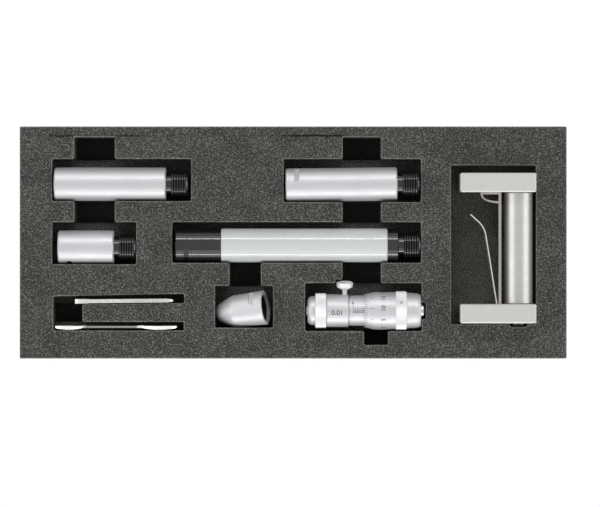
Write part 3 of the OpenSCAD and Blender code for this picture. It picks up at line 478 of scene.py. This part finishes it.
def cut_foam(name, node, low, high, mat, body, convex, concave, rim, wobble, lit_rim_mat=None):
    """A foam layer as the real one is cut: soft rims, small corner radii and uneven walls.

    convex and concave are the corner radii, wobble is how far a wall wanders into the foam, and
    rim is the radius of the soft rim in millimetres. The curve is drawn in millimetres, because
    Blender fills very small outlines badly."""
    curve = bpy.data.curves.new(name, "CURVE")
    curve.dimensions = "2D"
    curve.fill_mode = "BOTH"
    for number, ring in enumerate(rim_of(node, high, convex, concave)):
        spline = curve.splines.new("POLY")
        spline.points.add(len(ring) - 1)
        spline.use_cyclic_u = True
        count = len(ring)
        for i, p in enumerate(ring):
            # Every wall goes into the foam a little, in waves of about 7 mm, and never out into
            # a pocket
            along = (ring[(i + 1) % count] - ring[i - 1]).normalized()
            inward = Vector((-along.y, along.x, 0))
            depth = wobble * (0.5 + 0.5 * noise.noise(p / (7 * MM))) if number else 0.0
            q = (p + inward * depth) / MM
            spline.points[i].co = (q.x, q.y, 0, 1)
    curve.extrude = (high - low) / 2 / MM - rim
    curve.bevel_depth = rim
    curve.bevel_resolution = 2
    curve.offset = -rim
    flat = bpy.data.objects.new(name + " outline", curve)
    bpy.context.scene.collection.objects.link(flat)
    bpy.context.view_layer.update()
    mesh = bpy.data.meshes.new_from_object(flat)
    bpy.data.objects.remove(flat)
    mesh.transform(Matrix.Translation((0, 0, (low + high) / 2)) @ Matrix.Scale(MM, 4))
    bm = bmesh.new()
    bm.from_mesh(mesh)
    bmesh.ops.remove_doubles(bm, verts=bm.verts[:], dist=0.002 * MM)
    bmesh.ops.recalc_face_normals(bm, faces=bm.faces[:])
    bm.to_mesh(mesh)
    bm.free()
    mesh.name = name
    mesh.materials.clear()
    mesh.materials.append(mat)
    mesh.materials.append(lit_rim_mat or mat)
    for face in mesh.polygons:
        face.use_smooth = False
        # Only the soft rims slope, and they take the rim finish, whose paler colour paints their
        # highlight
        face.material_index = 1 if 0.2 < face.normal.z < 0.98 else 0
    obj = bpy.data.objects.new(name, mesh)
    bpy.context.scene.collection.objects.link(obj)
    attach(obj, body)
    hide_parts(node)


# Marks on the micrometer head. Each is drawn flat, with u along the head, s round it and a
# height of 0, thickened, and then wrapped on the turned surface that carries it.
def stroke(bm, u0, s0, u1, s1):
    """A line or bar from one corner to the other, cut finely enough to bend round the head."""
    steps = max(1, math.ceil((s1 - s0) / MARK_STEP))
    made = bmesh.ops.create_grid(bm, x_segments=2, y_segments=steps, size=0.5)
    bmesh.ops.scale(bm, vec=(u1 - u0, s1 - s0, 1), verts=made["verts"])
    bmesh.ops.translate(bm, vec=((u0 + u1) / 2, (s0 + s1) / 2, 0), verts=made["verts"])


def numeral(bm, text, height, u, s, turn=0.0):
    """A plain number with its middle at u and s, turned in degrees.

    Its digits are 0.7 of the type size high, and a little bolder than the plain type."""
    curve = bpy.data.curves.new("numeral", "FONT")
    curve.body = text
    curve.size = height / 0.7
    curve.offset = 0.02 * height
    curve.align_x = "CENTER"
    curve.align_y = "CENTER"
    obj = bpy.data.objects.new("numeral", curve)
    bpy.context.scene.collection.objects.link(obj)
    bpy.context.view_layer.update()
    mesh = bpy.data.meshes.new_from_object(obj)
    bpy.data.objects.remove(obj)
    mesh.transform(Matrix.Translation((u, s, 0)) @ Matrix.Rotation(math.radians(turn), 4, "Z"))
    part = bmesh.new()
    part.from_mesh(mesh)
    across = [v.co.y for v in part.verts]
    cut = min(across) + MARK_STEP
    while cut < max(across):
        everything = part.verts[:] + part.edges[:] + part.faces[:]
        bmesh.ops.bisect_plane(part, geom=everything, plane_co=(0, cut, 0), plane_no=(0, 1, 0))
        cut += MARK_STEP
    part.to_mesh(mesh)
    part.free()
    bm.from_mesh(mesh)


def dimple_shade_ring(bm, diameter, width, u, s):
    """A ring with its middle at u and s, of an outer diameter and a line width."""
    made = bmesh.ops.create_circle(bm, cap_ends=True, segments=20, radius=diameter / 2)
    middle = made["verts"][0].link_faces[0]
    rim = bmesh.ops.inset_individual(bm, faces=[middle], thickness=width)
    bmesh.ops.translate(bm, vec=(u, s, 0), verts=list({v for f in rim["faces"] + [middle]
                                                       for v in f.verts}))
    bmesh.ops.delete(bm, geom=[middle], context="FACES_ONLY")


def wrap_marks(name, bm, across, turn, mat, body, radius_at=None):
    """Thickens flat marks, wraps them round the head and lets them ride on a body.

    across is the diameter that s is measured on, and radius_at gives the radius at u where
    the surface is a cone."""
    bmesh.ops.remove_doubles(bm, verts=bm.verts[:], dist=0.0005)
    raised = bmesh.ops.extrude_face_region(bm, geom=bm.faces[:])["geom"]
    bmesh.ops.translate(bm, vec=(0, 0, MARK_DEPTH),
                        verts=[v for v in raised if isinstance(v, bmesh.types.BMVert)])
    bmesh.ops.translate(bm, vec=(0, 0, MARK_PROUD - MARK_DEPTH), verts=bm.verts[:])
    for v in bm.verts:
        r = (radius_at(v.co.x) if radius_at else across / 2) + v.co.z
        a = math.radians(turn) + v.co.y / (across / 2)
        v.co = Vector((HEAD_X + v.co.x * MM, HEAD_Y + r * math.sin(a) * MM,
                       HEAD_Z + r * math.cos(a) * MM))
    bmesh.ops.recalc_face_normals(bm, faces=bm.faces[:])
    mesh = bpy.data.meshes.new(name)
    bm.to_mesh(mesh)
    bm.free()
    mesh.materials.append(mat)
    obj = bpy.data.objects.new(name, mesh)
    bpy.context.scene.collection.objects.link(obj)
    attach(obj, body)


def thimble_radius(u):
    """The thimble's radius at u: a cone as far as 30.6 mm from the left contact, then even."""
    return THIMBLE_D / 2 - 0.95 * max(0.0, 30.6 - u) / 4.6


def mark_head(mat):
    """All the marks. Places along the head are in millimetres from its left contact."""
    half = MARK_WIDTH / 2
    # Scale of the sleeve: a datum line, and above it a line for each half millimetre, longer at
    # each whole one and longest at each fifth
    bm = bmesh.new()
    datum = MARK_WIDTH / 3
    stroke(bm, 20.8, -datum, 26.4, datum)
    for i in range(11):
        u = 21 + i * 0.5
        length = 3.2 if i % 10 == 0 else 1.2 if i % 2 else 2.1
        stroke(bm, u - half, datum, u + half, length)
    numeral(bm, "0", 1.3, 20.9, 4.4)
    wrap_marks("sleeve_scale", bm, SLEEVE_D, -6.4, mat, "head")
    # Graduation value on the body
    bm = bmesh.new()
    numeral(bm, "0.01", 2.2, 13.9, -0.9)
    wrap_marks("body_marks", bm, BODY_D, 0, mat, "head")
    # Fifty lines round the thimble, every fifth one long and with a number
    bm = bmesh.new()
    for i in range(50):
        s = THIMBLE_D / 2 * math.radians(360 / 50 * i)
        stroke(bm, 26.1, s - half, 27.4, s + half)
        if i % 5 == 0:
            stroke(bm, 28.4, s - half, 31.1, s + half)
            numeral(bm, str((i + 10) % 50), 1.9, 34.6, s, 90)
    wrap_marks("thimble_scale", bm, THIMBLE_D, 8, mat, "thimble", thimble_radius)
    # A small punched dimple in the thimble's knurled ring, drawn as a dark ring of painted shade
    # round its wall
    bm = bmesh.new()
    dimple_shade_ring(bm, 1.3, 0.16, 42.5, 0)
    wrap_marks("dimple_shade_ring", bm, RING_D, 26, mat, "thimble")


# Floor
def lay_floor():
    """White paper, which takes shadows a little and otherwise shows as clean white."""
    mesh = bpy.data.meshes.new("floor")
    bm = bmesh.new()
    bmesh.ops.create_grid(bm, x_segments=1, y_segments=1, size=4)
    bm.to_mesh(mesh)
    bm.free()
    mat = bpy.data.materials.new("white paper floor")
    mat.use_nodes = True
    tree = mat.node_tree
    tree.nodes.clear()
    # Where it is seen, 0.92 of it is the glow and the rest is paper, which takes the shadows
    share = add(tree, "ShaderNodeMath", {0: seen_directly(tree), 1: 0.92}, operation="MULTIPLY")
    paper = add(tree, "ShaderNodeBsdfDiffuse", {"Color": colour("#F4F4F4")})
    glow = add(tree, "ShaderNodeEmission", {"Color": (1, 1, 1, 1), "Strength": 1.05})
    both = add(tree, "ShaderNodeMixShader", {0: share.outputs[0], 1: paper.outputs[0],
                                             2: glow.outputs[0]})
    add(tree, "ShaderNodeOutputMaterial", {"Surface": both.outputs[0]})
    mesh.materials.append(mat)
    obj = bpy.data.objects.new("floor", mesh)
    bpy.context.scene.collection.objects.link(obj)


place_camera()
light_studio()
finishes = make_finishes()
for finish, names in FINISH_OF.items():
    for node_name in names:
        dress_node(node_name, finishes[finish])
cut_foam("pocket_foam", "foam_cut_layer", BED, TOP, finishes["cut_foam"], "tray",
         1.0 * MM, 0.5 * MM, 0.5, 0.14 * MM, finishes["foam_rim"])
cut_foam("bed_foam", "foam_floor_layer", SHEET, BED, finishes["bed_foam"], "tray",
         0.6 * MM, 0.5 * MM, 0.3, 0.05 * MM)
# The end cap leans 15 degrees up and 7.5 degrees across its pocket, about this point of its axis
cap_start = (-33.925 * MM, -31.94 * MM, 16.85 * MM)
lean, swing = math.radians(15), math.radians(7.5)
cap_axis = (math.cos(lean) * math.cos(swing), math.cos(lean) * math.sin(swing), math.sin(lean))
darken_bore("end_cap_shell", finishes["oiled_bore"], cap_start, cap_axis)
mark_head(finishes["engraving"])
lay_floor()

bpy.context.scene.view_settings.view_transform = "Standard"
bpy.context.view_layer.update()
